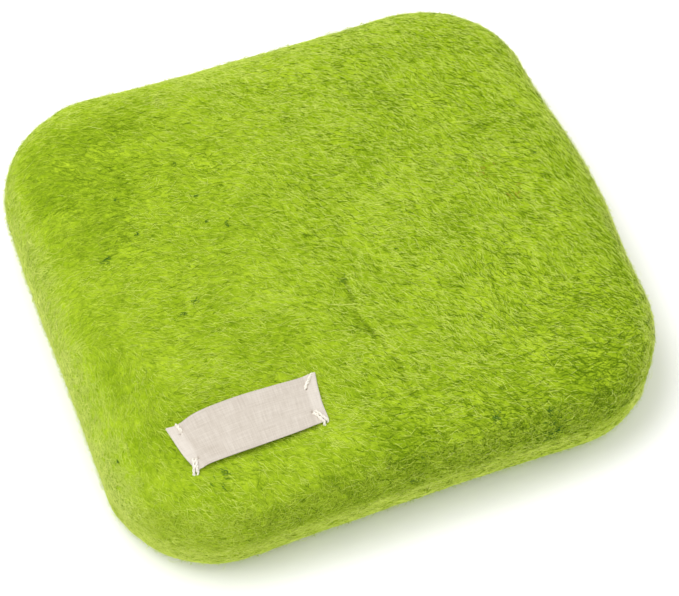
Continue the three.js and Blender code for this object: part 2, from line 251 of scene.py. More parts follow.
def wool_material(name, dark, middle, light):
    """Felted wool: mottled patches, fibre streaks in two directions and a matted bump."""
    material, tree, shader = new_material(name)
    patches = add_noise(tree, object_places(tree), 60, detail=4)
    flecks = add_noise(tree, object_places(tree), 420)
    combed = object_places(tree, (260, 1500, 1500), radians(35))
    crossed = object_places(tree, (1500, 260, 1500), radians(10))
    combed_streaks = add_noise(tree, combed, 1, detail=2)
    crossed_streaks = add_noise(tree, crossed, 1, detail=2)
    streaks = add_math(tree, "MAXIMUM", combed_streaks, crossed_streaks)
    mottle = add_math(tree, "MULTIPLY_ADD", flecks, 0.35, 0.02)
    mottle = add_math(tree, "MULTIPLY_ADD", patches, 0.4, mottle)
    shade = add_math(tree, "MULTIPLY_ADD", streaks, 0.3, mottle)
    colour = add_ramp(tree, shade, [(0.3, dark), (0.5, middle), (0.72, light)])
    matt(tree, shader, colour, 0.95, fuzzy=True)
    add_bump(tree, shader, add_math(tree, "ADD", streaks, flecks), 0.6, 0.3 * MM)
    return material


def fibre_material(name, stops):
    """Loose wool fibres: each strand's shade is its place on the ramp, kept in its UV map."""
    material, tree, shader = new_material(name)
    _, shade = own_map(tree)
    matt(tree, shader, add_ramp(tree, shade, stops), 0.9, fuzzy=True)
    return material


def foam_material(name):
    """Cream open-cell foam: small round cells with mouths darkened by painted shade."""
    material, tree, shader = new_material(name)
    cells = add_node(tree, "TexVoronoi", {"Vector": object_places(tree), "Scale": 900})
    from_cell = cells.outputs["Distance"]
    patches = add_noise(tree, object_places(tree), 90)
    shade = add_math(tree, "MULTIPLY_ADD", patches, 0.35, from_cell)
    matt(tree, shader, add_ramp(tree, shade, [(0.2, FOAM_DEEP), (0.7, FOAM_PALE)]), 0.9)
    add_bump(tree, shader, from_cell, 0.7, 0.5 * MM)
    return material


def cotton_material(name):
    """Plain-woven unbleached cotton: thick and thin yarns both ways, slubs, and hems that are paler for
    their second layer."""
    material, tree, shader = new_material(name)
    weave, along = own_map(tree)
    warp_yarns = add_noise(tree, mapped(tree, weave, (6, 60, 1)), 1, detail=2)
    weft_yarns = add_noise(tree, mapped(tree, weave, (170, 3, 1)), 1, detail=2)
    slubs = add_noise(tree, object_places(tree), 220)
    from_end = add_math(tree, "PINGPONG", along, 0.5)
    hem = soft_step(tree, from_end, 0.165, 0.185, 0.14, 0)
    yarns = add_math(tree, "ADD", warp_yarns, weft_yarns)
    shade = add_math(tree, "MULTIPLY_ADD", yarns, 0.4, hem)
    shade = add_math(tree, "MULTIPLY_ADD", slubs, 0.2, shade)
    matt(tree, shader, add_ramp(tree, shade, [(0.3, COTTON_DEEP), (0.7, COTTON_PALE)]), 0.85)
    add_bump(tree, shader, yarns, 0.25, 0.08 * MM)
    return material


def thread_material(name):
    """Cream twisted cotton thread with a fine fuzz of lighter and darker filaments."""
    material, tree, shader = new_material(name)
    filaments = add_noise(tree, object_places(tree), 2600)
    matt(tree, shader, add_ramp(tree, filaments, [(0.3, THREAD_DEEP), (0.62, THREAD_PALE)]), 0.7)
    add_bump(tree, shader, filaments, 0.4, 0.08 * MM)
    return material


def floor_material(name):
    """White paper, lifted to white for the camera alone away from the mat, so that its shadow stays. The
    distance is counted in half widths of the mat, from a little to the right and front of its middle."""
    material, tree, shader = new_material(name)
    places = object_places(tree, (1 / HALF_WIDTH, 1 / HALF_DEPTH, 0), shift=LIFT_SHIFT)
    parts = add_node(tree, "SeparateXYZ", {"Vector": places}).outputs
    along = add_math(tree, "POWER", add_math(tree, "ABSOLUTE", parts["X"]), 4)
    across = add_math(tree, "POWER", add_math(tree, "ABSOLUTE", parts["Y"]), 4)
    away = add_math(tree, "POWER", add_math(tree, "ADD", along, across), 0.25)
    lift = soft_step(tree, away, LIFT_FROM, LIFT_TO, 0, FULL_LIFT)
    lift = add_math(tree, "MULTIPLY", seen_rays(tree), lift)
    fill(tree, shader, {"Base Color": PAPER, "Roughness": 0.9, "Specular IOR Level": 0})
    fill(tree, shader, {"Emission Color": PAPER_LIFT, "Emission Strength": lift})
    return material


# Shape of the mat


def crown_at(x, y):
    return CROWN * (1 - (x / HALF_WIDTH) ** 2) * (1 - (y / HALF_DEPTH) ** 2)


def mid_share(along, half):
    """Share of a side's swell at a place along it: most in its middle, none at the corners."""
    straight = half - CORNER_RADIUS
    return cos(pi * along / (2 * straight)) ** 2 if abs(along) < straight else 0


def hand_made(x, y):
    """A point of the plan moved as the side nearest to it swells, is drawn in or slants."""
    right = RIGHT_SWELL * mid_share(y, HALF_DEPTH) + RIGHT_SLANT * y / HALF_DEPTH
    back = -BACK_DRAW_IN * mid_share(x, HALF_WIDTH) - BACK_SLANT * x / HALF_WIDTH
    front = FRONT_DRAW_IN * mid_share(x, HALF_WIDTH)
    near_x = abs(x / HALF_WIDTH) ** UNEVEN_FADE
    near_y = abs(y / HALF_DEPTH) ** UNEVEN_FADE
    moved_x = x + right * near_x if x > 0 else x
    moved_y = y + (back if y > 0 else front) * near_y
    return moved_x, moved_y


def shoulder_share(inset, reach):
    left = max(1 - inset / reach, 0)
    return (1 - left**SHOULDER_POWER) ** (1 / SHOULDER_POWER)


def top_height(x, y):
    over_x = abs(x) - HALF_WIDTH + CORNER_RADIUS
    over_y = abs(y) - HALF_DEPTH + CORNER_RADIUS
    outside = hypot(max(over_x, 0), max(over_y, 0))
    inset = CORNER_RADIUS - outside - min(max(over_x, over_y), 0)
    rise = MAT_HEIGHT - CROWN - WIDEST_HEIGHT + crown_at(x, y)
    return WIDEST_HEIGHT + rise * shoulder_share(inset, SHOULDER_REACH)


def round_the_corner(share, straight, radius):
    """Place along half a side and out from the line of the corners' centres."""
    reach = abs(share) * (straight + radius * pi / 4)
    turn = max(reach - straight, 0) / radius
    along = min(reach, straight) + radius * sin(turn)
    return copysign(along, share), radius * cos(turn)


def rim_point(a, b, inset):
    """The outline at an inset, for a place on the rim of a square from -1 to 1."""
    if a == b == 0:
        return 0, 0
    radius = CORNER_RADIUS - inset
    straight_x = HALF_WIDTH - CORNER_RADIUS
    straight_y = HALF_DEPTH - CORNER_RADIUS
    if abs(b) >= abs(a):
        along, out = round_the_corner(a / abs(b), straight_x, radius)
        return along, copysign(straight_y + out, b)
    along, out = round_the_corner(b / abs(a), straight_y, radius)
    return copysign(straight_x + out, a), along


def through_points(points, share):
    """A smooth curve through points, at a share of the way along them."""
    place = share * (len(points) - 1)
    index = min(int(place), len(points) - 2)
    step = place - index
    before = points[max(index - 1, 0)]
    start = points[index]
    stop = points[index + 1]
    after = points[min(index + 2, len(points) - 1)]
    curve = []
    for p, q, r, s in zip(before, start, stop, after):
        squared = (2 * p - 5 * q + 4 * r - s) * step**2
        cubed = (3 * q - p - 3 * r + s) * step**3
        curve.append(0.5 * (2 * q + (r - p) * step + squared + cubed))
    return curve


def flank_point(share, skin):
    """Inset and height of the side, from the foot at 0 to the widest outline at 1."""
    if skin == 0:
        profile = [
            (FOOT_INSET, 0),
            (TUCK_INSET, TUCK_HEIGHT),
            (ROLL_INSET, ROLL_HEIGHT),
            (GROOVE_DEPTH, GROOVE_HEIGHT),
            (FLANK_INSET, (GROOVE_HEIGHT + WIDEST_HEIGHT) / 2),
            (0, WIDEST_HEIGHT),
        ]
        inset, height = through_points(profile, share)
        return inset, max(height, 0)
    rounding = max(BASE_ROUND - skin, SMALLEST_ROUND)
    if share > 0.5:
        top = skin + rounding
        return skin, top + (WIDEST_HEIGHT - top) * (2 * share - 1)
    angle = share * pi
    return skin + rounding * (1 - sin(angle)), skin + rounding * (1 - cos(angle))


FLAT_SHARE = 0.7
FELT_CUTS = (130, 28)
WRAP_CUTS = (48, 10)


def mat_point(a, b, c, skin):
    """Where a place on the skin of a cube from -1 to 1 lies on the mat, at a depth below its surface."""
    ring = max(abs(a), abs(b))
    on_top = c > 0.9999
    scale = share = 1
    if not on_top:
        inset, z = flank_point((c + 1) / 2, skin)
        scale = ring
    elif ring <= FLAT_SHARE:
        inset = SHOULDER_REACH
        scale = ring / FLAT_SHARE
    else:
        reach = SHOULDER_REACH - skin
        step = (1 - ring) / (1 - FLAT_SHARE)
        along = reach * (1 - cos(step * pi / 2))
        inset = skin + along
        share = shoulder_share(along, reach)
    x, y = (scale * place for place in rim_point(a, b, inset))
    if on_top:
        rise = MAT_HEIGHT - CROWN - WIDEST_HEIGHT - skin + crown_at(x, y)
        z = WIDEST_HEIGHT + rise * share
    return Vector((*hand_made(x, y), z))


def mat_block(cuts, side_cuts, skin):
    """A cube cut into even strips and shaped into the mat."""
    block = bmesh.new()
    bmesh.ops.create_cube(block, size=2)
    for axis, count in ((0, cuts), (1, cuts), (2, side_cuts)):
        edges = [e for e in block.edges if abs(e.verts[0].co[axis] - e.verts[1].co[axis]) > 1e-6]
        bmesh.ops.subdivide_edges(block, edges=edges, cuts=count, use_grid_fill=True)
    for vert in block.verts:
        vert.co = mat_point(*vert.co, skin)
    bmesh.ops.recalc_face_normals(block, faces=block.faces)
    return block


# The edge of the upper batt, in millimetres: height, length and seed of its waves, height, place and reach
# of its bulges, and strength, place and reach of the creases where it shows
WAVES = [(0.7, 23, 3.1), (0.6, 7, 8.7)]
BULGES = [(2.8, -40, 10), (2, -73, 10)]
CREASES = [(1, -27, 6), (1, -43, 6), (0.6, -63, 11)]

# Soft swells and pits of the felt: height and size in millimetres, and seed
SWELLS = [(0.5, 38, (0, 0, 0)), (0.34, 14, (7, 0, 0)), (0.22, 5.5, (0, 9, 0))]


def hills(value, heights):
    """Soft hills added up, each with its height, middle and width."""
    return sum(height * bump(value, middle, width) for height, middle, width in heights)


def lap_distance(place):
    """How far a place lies to the right of the wavering edge of the upper batt."""
    wave = 0
    for height, length, seed in WAVES:
        wave += height * noise.noise(Vector((place.y / (length * MM), seed, 0)))
    wave += hills(place.y / MM, BULGES)
    return (place.x - LAP_EDGE_X) * cos(LAP_TURN) + place.y * sin(LAP_TURN) + wave * MM


def crease_strength(place):
    """How strongly the edge of the upper batt shows: at a few places on the front half of the top."""
    return 0 if place.z < WIDEST_HEIGHT else hills(place.y / MM, CREASES)


def felt_swell(place):
    """Unevenness of the hand-felted surface: soft swells, pits, the faint crease of the lap and the
    fuller wool of the rolled edge."""
    swell = sum(height * lumps(place, size, seed) for height, size, seed in SWELLS)
    aside = lap_distance(place) / MM
    ridge = 0.9 * bump(aside, 2.2, 1.7) - 1 * bump(aside, -0.8, 1.2)
    swell += ridge * crease_strength(place)
    swell += bump(place.z / MM, 5.5, 3) + 0.45 * bump(place.z, GROOVE_HEIGHT, 2 * MM)
    return swell * MM * smooth_share(place.z, 0.5 * MM, 5 * MM)


def felted_block():
    """The mat's outer surface with its swells."""
    block = mat_block(*FELT_CUTS, 0)
    block.normal_update()
    for vert in block.verts:
        vert.co += vert.normal * felt_swell(vert.co)
    block.normal_update()
    return block


def score(block, place, normal, drop=False):
    """Cuts the faces along a plane; drop takes away the side that the normal points to."""
    geometry = block.verts[:] + block.edges[:] + block.faces[:]
    bmesh.ops.bisect_plane(block, geom=geometry, plane_co=place, plane_no=normal, clear_outer=drop)


def put(name, data):
    """Puts a mesh, curve, lamp or camera into the scene."""
    holder = bpy.data.objects.new(name, data)
    bpy.context.collection.objects.link(holder)
    return holder


def new_piece(name, block, material):
    mesh = bpy.data.meshes.new(name)
    block.to_mesh(mesh)
    block.free()
    return mesh_piece(name, mesh, material)


def mesh_piece(name, mesh, material):
    mesh.transform(Matrix.Translation(BESIDE_ORIGIN))
    mesh.materials.clear()
    mesh.materials.append(material)
    mesh.shade_smooth()
    return put(name, mesh)


def wall(piece, thickness, shares=None, offset=-1):
    """Gives a skin its thickness, inwards or with offset 0 to both sides, less where the shares say so."""
    thick = piece.modifiers.new("wall", "SOLIDIFY")
    thick.thickness = thickness
    thick.offset = offset
    if shares is not None:
        group = piece.vertex_groups.new(name="wall")
        for index, share in enumerate(shares):
            group.add([index], share, "REPLACE")
        thick.vertex_group = "wall"
    return piece


lap_normal = Vector((cos(LAP_TURN), sin(LAP_TURN), 0))
lap_edge = Vector((LAP_EDGE_X, 0, 0))
upright = Vector((0, 0, 1))


def shift_lap(block, way):
    """Moves the block across so that the wavering edge of the lap becomes straight, or back again."""
    for vert in block.verts:
        straight = (vert.co - lap_edge).dot(lap_normal)
        waver = lap_distance(vert.co) - straight
        vert.co.x += way * waver


def level_way(vert):
    """The way out of the mat at a point of its side, without its rise or fall."""
    return Vector((vert.normal.x, vert.normal.y, 0)).normalized()


def top_skin(surface):
    """The upper part of the surface, scored at the groove, its tongue tucked in behind the rolled edge."""
    block = surface.copy()
    score(block, (0, 0, GROOVE_HEIGHT - EDGE_LAP + CLEARANCE), -upright, drop=True)
    score(block, (0, 0, GROOVE_HEIGHT + 1.5 * CLEARANCE), upright)
    score(block, (0, 0, GROOVE_HEIGHT + CLEARANCE), upright)
    bmesh.ops.remove_doubles(block, verts=block.verts, dist=0.06 * MM)
    block.normal_update()
    tongue = EDGE_LAP_SKIN + CLEARANCE
    for vert in block.verts:
        if vert.co.z < TONGUE_TOP:
            vert.co -= level_way(vert) * tongue
    return block


def tongue_share(place):
    """Share of the full wall that is left where the top felt tucks in behind the rolled edge."""
    return TONGUE_WALL if place.z < TONGUE_TOP else 1


def feathered(distance, edge, full):
    """A measure that grows from the thin edge of the upper batt to its full value further in."""
    return edge + (full - edge) * smooth_share(distance, 0, LAP_FEATHER)


def lapped_skin(surface, limit, way, marks):
    """The top skin up to a limit across the lap, scored at some distances from the lap's edge."""
    block = top_skin(surface)
    shift_lap(block, 1)
    score(block, lap_edge + lap_normal * limit, lap_normal * way, drop=True)
    for mark in marks:
        score(block, lap_edge + lap_normal * mark, lap_normal)
    shift_lap(block, -1)
    return block


def make_top_right(surface):
    block = lapped_skin(surface, 0, -1, [LAP_WIDTH])
    shares = []
    for vert in block.verts:
        over = lap_distance(vert.co)
        thickness = feathered(over, LAP_EDGE_THICKNESS, LAP_SKIN - CLEARANCE)
        if over > LAP_WIDTH - 0.1 * MM:
            thickness = COVER_THICKNESS
        shares.append(min(thickness / COVER_THICKNESS, tongue_share(vert.co)))
    return wall(new_piece("top_felt_right_wool", block, lime_felt_with_gap_shade), COVER_THICKNESS, shares)


def make_top_left(surface):
    block = lapped_skin(surface, LAP_WIDTH - CLEARANCE, 1, [-0.4 * MM, 0])
    block.normal_update()
    shares = []
    for vert in block.verts:
        under = lap_distance(vert.co)
        drop = 0
        if under > -0.1 * MM and vert.co.z > TONGUE_TOP:
            drop = feathered(under, LAP_EDGE_THICKNESS + 0.05 * MM, LAP_SKIN + CLEARANCE)
        shares.append(min(1 - drop / COVER_THICKNESS, tongue_share(vert.co)))
        out = vert.normal if vert.co.z > WIDEST_HEIGHT else level_way(vert)
        vert.co -= out * drop
    return wall(new_piece("top_felt_left_wool", block, lime_felt_with_gap_shade), COVER_THICKNESS, shares)


def make_base(surface):
    block = surface.copy()
    score(block, (0, 0, GROOVE_HEIGHT), upright, drop=True)
    score(block, (0, 0, GROOVE_HEIGHT - EDGE_LAP), upright)
    lap_share = (EDGE_LAP_SKIN - CLEARANCE) / COVER_THICKNESS
    low = GROOVE_HEIGHT - EDGE_LAP - 0.1 * MM
    shares = [lap_share if vert.co.z > low else 1 for vert in block.verts]
    return wall(new_piece("base_felt_wool", block, lime_felt_with_gap_shade), COVER_THICKNESS, shares)


def make_wrap(name, skin, along_x):
    """A wool batt wrapped right round what it holds, its two edges meeting in a seam underneath."""
    block = mat_block(*WRAP_CUTS, skin)
    half_x = HALF_WIDTH - WRAP_SEAM_MARGIN if along_x else WRAP_SEAM_WIDTH / 2
    half_y = WRAP_SEAM_WIDTH / 2 if along_x else HALF_DEPTH - WRAP_SEAM_MARGIN
    for reach, axis in ((half_x, Vector((1, 0, 0))), (half_y, Vector((0, 1, 0)))):
        score(block, axis * reach, axis)
        score(block, -axis * reach, axis)
    gap = []
    for face in block.faces:
        x, y, z = face.calc_center_median()
        if z < skin + 0.2 * MM and abs(x) < half_x and abs(y) < half_y:
            gap.append(face)
    bmesh.ops.delete(block, geom=gap, context="FACES")
    return wall(new_piece(name, block, pale_felt), WRAP_THICKNESS)


# Wool fibres on the surface

random_wool = np.random.default_rng(20)
ROOT_DEPTH = 0.25 * MM
LOWEST_FIBRE = 0.12 * MM
DARKEST = 0.01
LIGHTEST = 0.79

strand_section = bpy.data.curves.new("strand_section", "CURVE")
section_line = strand_section.splines.new("POLY")
section_line.points.add(2)
section_line.use_cyclic_u = True
for corner, point in enumerate(section_line.points):
    corner_angle = 2 * pi * corner / 3
    point.co = (cos(corner_angle), sin(corner_angle), 0, 1)
section_object = put("strand_section", strand_section)


def curve_mesh(curve):
    """The mesh that a curve makes, with the curve itself taken away."""
    holder = put(curve.name, curve)
    shown = bpy.context.evaluated_depsgraph_get()
    shown.update()
    mesh = bpy.data.meshes.new_from_object(holder.evaluated_get(shown))
    bpy.data.objects.remove(holder)
    bpy.data.curves.remove(curve)
    return mesh


def close_tips(mesh):
    """Merges the points that lie on each other, which closes the tips of strands."""
    block = bmesh.new()
    block.from_mesh(mesh)
    bmesh.ops.remove_doubles(block, verts=block.verts, dist=1e-7)
    bmesh.ops.dissolve_degenerate(block, dist=1e-8, edges=block.edges)
    block.to_mesh(mesh)
    block.free()


def strands(name, paths, widths, shades, material):
    """One mesh of tapered three-sided strands, each with its shade in its own UV map."""
    curve = bpy.data.curves.new(name, "CURVE")
    curve.dimensions = "3D"
    curve.bevel_mode = "OBJECT"
    curve.bevel_object = section_object
    count = paths.shape[1]
    taper = np.sin(np.linspace(0, pi, count)) ** 0.6
    taper[0] = taper[-1] = 0
    places = np.ones((len(paths), count, 4))
    places[:, :, :3] = paths
    for place, width in zip(places, widths):
        line = curve.splines.new("POLY")
        line.points.add(count - 1)
        line.points.foreach_set("co", place.ravel())
        line.points.foreach_set("radius", taper * width / 2)
    mesh = curve_mesh(curve)
    sides = 3 * (count - 1)
    mesh.uv_layers[0].name = "OFBake"
    spots = np.zeros((len(paths), sides * 4, 2))
    along = np.repeat(np.linspace(0.05, 0.9, count - 1), 4 * 3)
    spots[:, :, 0] = np.asarray(shades)[:, None] + np.tile([0, 0, 0.002, 0.002], sides)
    spots[:, :, 1] = along + np.tile([0, 0.05, 0.05, 0], sides)
    mesh.uv_layers[0].data.foreach_set("uv", spots.ravel().astype(np.float32))
    close_tips(mesh)
    return mesh_piece(name, mesh, material)


# Combing of the top, as places in millimetres with the way the wool lies there in degrees
COMBING = [
    (-60, 60, -20), (0, 75, -32), (60, 60, -48), (-78, 15, -5), (-40, 20, -30), (0, 10, -44), (40, 0, -48),
    (80, 0, -56), (50, -45, -58), (0, -50, -45), (-50, -35, -24), (-99, -45, -100), (-60, -86, -50),
    (0, -88, -30), (60, -85, -25),
]
COMB_BLEND = 120
COMB_WAVER = 0.55
COMB_WAVER_SIZE = 17 * MM
LEVEL_BELOW = 12 * MM
COMBED_ABOVE = 30 * MM


def combed_angle(x, y):
    """The way the wool lies on top, from the nearest places of the combing."""
    lean_x = lean_y = 0
    for place_x, place_y, angle in COMBING:
        near = 1 / ((x / MM - place_x) ** 2 + (y / MM - place_y) ** 2 + COMB_BLEND)
        near *= near
        turned = 2 * radians(angle)
        lean_x += near * cos(turned)
        lean_y += near * sin(turned)
    waver = COMB_WAVER * noise.noise(Vector((x / COMB_WAVER_SIZE, y / COMB_WAVER_SIZE, 4.2)))
    return atan2(lean_y, lean_x) / 2 + waver


def wool_direction(place, normal):
    """The way the wool lies at a place: combed over the top, round the mat on its sides."""
    angle = combed_angle(place.x, place.y)
    combed = Vector((cos(angle), sin(angle), 0))
    combed -= normal * combed.dot(normal)
    level = Vector((-normal.y, normal.x, 0))
    if level.length < 1e-4:
        return combed.normalized()
    level.normalize()
    if level.dot(combed) < 0:
        level.negate()
    side = 1 - smooth_share(place.z, LEVEL_BELOW, COMBED_ABOVE)
    return (combed.normalized() * (1 - side) + level * side).normalized()


# How upright a face is where the top meets the sides, where fuzz starts, and on the underside; how far
# forward it looks at the front, and how far to the right, down and up on the right side with painted light
SIDE_LIMIT = 0.6
EDGE_LIMIT = 0.75
UNDER_LIMIT = -0.75
FRONT_LIMIT = -0.45
RIGHT_LIMIT = 0.5
RIGHT_LOW = -0.3
RIGHT_HIGH = 0.45

# How much the fibres of the top and sides mingle, and over how many millimetres
MINGLE = 0.22
MINGLE_SIZE = 5


def uprightness(face):
    """How much a face looks up, made uneven so that the fibres of the top and sides mingle."""
    return face.normal.z + MINGLE * lumps(face.calc_center_median(), MINGLE_SIZE, (0, 0, 0))


def surface_places(faces, count):
    """Places spread evenly over some faces."""
    areas = np.array([face.calc_area() for face in faces])
    picks = random_wool.choice(len(faces), size=count, p=areas / areas.sum())
    places = []
    for pick, across, along in zip(picks, random_wool.random(count), random_wool.random(count)):
        corners = [vert.co for vert in faces[pick].verts]
        low = corners[0].lerp(corners[1], across)
        high = corners[-1].lerp(corners[-2], across)
        places.append((low.lerp(high, along), faces[pick].normal))
    return places


def lie_along(place, normal, direction, length, curl, lifts):
    """A path over the surface through a place, with its lift above the felt at each point."""
    aside = normal.cross(direction)
    path = []
    for step, lift in enumerate(lifts):
        reach = length * (step / (len(lifts) - 1) - 0.5)
        aim = place + direction * reach + aside * (curl * reach * reach / length)
        spot, facing, _, _ = felt_tree.find_nearest(aim)
        path.append(spot + facing * lift)
    return path


def wool_mix(place):
    """How unevenly the light and dark wool is mixed: most at the right, least along the left side."""
    return 1 + 1.4 * smooth_share(place.x / MM, -40, 50) - 0.4 * smooth_share(-place.x / MM, 50, 95)


# Some patches are the wool's own uneven tone; the dark ones on the front shoulder are painted shade and the
# pale ones on the left, right and back rims are painted light
# Darker and paler patches: place and reach in millimetres, and the change of shade
TONE_AND_LIGHT_PATCHES = [
    (0, -85, 12, -0.28), (27, -89, 13, -0.23), (61, -89, 12, -0.16), (70, -87, 10, -0.46),
    (-8, -87, 10, -0.08), (82, -74, 10, -0.16), (-53, -89, 8, -0.1), (-2, -67, 8, -0.08),
    (-29, 42, 8, -0.12), (-58, -22, 8, -0.08), (-23, -13, 8, -0.08), (70, -7, 8, -0.08),
    (-52, 32, 8, -0.05), (-42, 20, 22, -0.05), (49, -40, 9, -0.13), (78, -57, 9, -0.12),
    (-28, 0, 9, -0.06), (-55, 2, 8, -0.07), (95, 45, 18, 0.24), (98, 18, 14, 0.2),
    (101, -10, 15, 0.18), (70, 72, 14, 0.14), (-83, 70, 16, 0.1), (-86, 50, 12, 0.09),
    (-74, -92, 12, 0.1), (-100, -45, 20, 0.16), (66, -62, 14, -0.08), (38, -17, 11, 0.07),
]


def tone_and_light_of_patches(place):
    """How much paler or darker the patches make the wool at a place, with painted shade and light; the dark
    ones fade down the sides.
    """
    upper = smooth_share(place.z, GROOVE_HEIGHT + 5 * MM, GROOVE_HEIGHT + 20 * MM)
    shade = 0
    for x, y, reach, change in TONE_AND_LIGHT_PATCHES:
        near = bump(hypot(place.x / MM - x, place.y / MM - y), 0, reach)
        shade += change * near * (upper if change < 0 else 1)
    return shade


def wool_shade(place, pits):
    """Shade of the wool at a place from 0, dark, to 0.8, light, with painted shade in the small pits of the
    felt.
    """
    x = place.x / MM
    y = place.y / MM
    shade = 0.5 + 0.12 * lumps(place, 26, (2, 5, 1)) + 0.09 * lumps(place, 8, (6, 1, 3))
    shade += tone_and_light_of_patches(place)
    to_the_sides = (place.x / HALF_WIDTH) ** 2
    back_left = smooth_share(-x, 10, 60) * smooth_share(y, 10, 50)
    right_half = smooth_share(x, 20, 60)
    # Painted shade: the front side is darker, where less light falls on it
    front_side_painted_shade = smooth_share(-y, 88, 95)
    # Painted shade in the small pits of the felt, stronger where the wool is mixed more unevenly
    pit = max(lumps(place, 1.4, (4, 4, 8)) - 0.12, 0)
    shade -= 0.11 * to_the_sides + 0.14 * back_left + 0.045 * right_half + 0.13 * front_side_painted_shade
    shade -= pits * wool_mix(place) * pit
    # Painted light: the left side, the back edge and the rolled edge at the foot are paler where the lamps
    # and the floor light them
    left_side = smooth_share(-x, 88, 101)
    back_edge_painted_light = smooth_share(y, 68, 88)
    rolled_edge_painted_light = 1 - smooth_share(place.z, GROOVE_HEIGHT - MM, GROOVE_HEIGHT + 6 * MM)
    shade += 0.42 * left_side + 0.26 * back_edge_painted_light + 0.32 * rolled_edge_painted_light
    # Painted shade just beside the edge of the upper batt and a painted highlight on its ridge
    aside = lap_distance(place) / MM
    crease = 0.12 * bump(aside, 2, 1.5) - 0.26 * bump(aside, -0.8, 1.1)
    return shade + crease * crease_strength(place)


def lay_fibres(faces, turns, lengths, curls, lifts):
    """Paths of fibres at random places on some faces, each turned from the way the wool lies there."""
    paths = np.zeros((*lifts.shape, 3))
    places = surface_places(faces, len(turns))
    for index, (place, normal) in enumerate(places):
        direction = Matrix.Rotation(turns[index], 3, normal) @ wool_direction(place, normal)
        paths[index] = lie_along(place, normal, direction, lengths[index], curls[index], lifts[index])
    paths[:, :, 2] = np.maximum(paths[:, :, 2], LOWEST_FIBRE)
    return paths, places


def felt_fibres(name, faces, count, length, width, spread, curl, lift, points, pits=0, shade=0, palest=0.62):
    """Short fibres felted into the surface, lying the way the wool is combed. Sizes are in millimetres, the
    spread in degrees."""
    mixes = random_wool.normal(0, 0.15, count)
    widths = random_wool.uniform(0.6, 1.3, count) * width * MM
    lengths = random_wool.uniform(0.5, 1.5, count) * length * MM
    turns = random_wool.normal(0, radians(spread), count)
    curls = random_wool.normal(0, curl, count)
    tops = random_wool.uniform(0.1, 1, count) * lift * MM
    lifts = tops[:, None] * np.sin(np.linspace(0, pi, points))
    lifts[:, 0] = lifts[:, -1] = -ROOT_DEPTH
    paths, places = lay_fibres(faces, turns, lengths, curls, lifts)
    shades = []
    for (place, _), mix in zip(places, mixes):
        shades.append(wool_shade(place, pits) + mix * wool_mix(place) + shade)
    return strands(name, paths, widths, np.clip(shades, DARKEST, palest), lime_fibre)


def stray_fibres(name, faces, count, length, width, stand, shade, points):
    """Loose fine hairs that stand off the felt in loops or with a free end. Sizes are in millimetres."""
    widths = random_wool.uniform(0.6, 1.4, count) * width * MM
    lengths = random_wool.uniform(0.4, 1.3, count) * length * MM
    turns = random_wool.uniform(0, 2 * pi, count)
    curls = random_wool.normal(0, 1.1, count)
    heights = random_wool.uniform(0.15, 1, count) ** 1.6 * stand * MM
    steps = np.linspace(0, 1, points)
    loop = np.sin(pi * steps) ** 0.8
    free_end = steps**1.4
    lifts = heights[:, None] * np.where(turns[:, None] > pi, free_end, loop)
    lifts[:, 0] = -ROOT_DEPTH
    paths, _ = lay_fibres(faces, turns, lengths, curls, lifts)
    shades = np.clip(random_wool.normal(shade, 0.06, count), DARKEST, LIGHTEST)
    return strands(name, paths, widths, shades, lime_fibre)


# Flecks of other wool felted in, by shade: place and reach in millimetres, and number of fibres
TEAL_SHADE = 0.85
BROWN_SHADE = 0.925
PALE_SHADE = 0.73
TOP_FLECKS = [
    (-64.7, 39.9, 0.6, 7), (-61.9, 22.1, 0.5, 8), (-75, 15.5, 0.8, 14), (-37.3, 30.2, 0.5, 7),
    (-30.8, 15, 0.9, 6), (-39.7, 46.6, 0.4, 4), (-37.4, 18.5, 0.3, 4), (-52.4, -12.5, 0.6, 7),
    (-57.4, -16, 0.5, 6), (30.4, -3.2, 0.8, 4), (21.1, -18.1, 0.8, 4), (50.3, -34.9, 0.9, 4),
    (-0.8, -23, 0.8, 6), (85, 6.4, 0.7, 5), (-64, -79, 0.9, 12), (-68, -82, 1.2, 6), (29, -89.3, 1, 20),
    (47.5, -92, 0.6, 12), (50.5, -94.5, 1, 16), (47, -94.8, 1.2, 16), (1.5, -92, 1, 7),
]
SIDE_FLECKS = [(-96, -59.5, 0.3, 5), (49, -97.5, 1.3, 24), (46, -100, 1.3, 14), (-4, -99, 1, 10)]
FLECKS = [
    (TEAL_SHADE, TOP_FLECKS),
    (BROWN_SHADE, [(65, 3.7, 2, 12), (70, -8.6, 2, 12)]),
    (TEAL_SHADE, SIDE_FLECKS),
    (PALE_SHADE, [(-36.8, 76.3, 1.3, 14)]),
]
FRONT_EDGE = -95 * MM
FRONT_TOP = 24 * MM


def felt_spot(x, y):
    """The felt under a place in millimetres; a place past the front edge lies as far down the front."""
    past = FRONT_EDGE - y * MM
    if past > 0:
        ahead = Vector((x * MM, -2 * HALF_DEPTH, FRONT_TOP - past))
        return felt_tree.ray_cast(ahead, Vector((0, 1, 0)))[:2]
    return felt_tree.ray_cast(Vector((x * MM, y * MM, 2 * MAT_HEIGHT)), -upright)[:2]


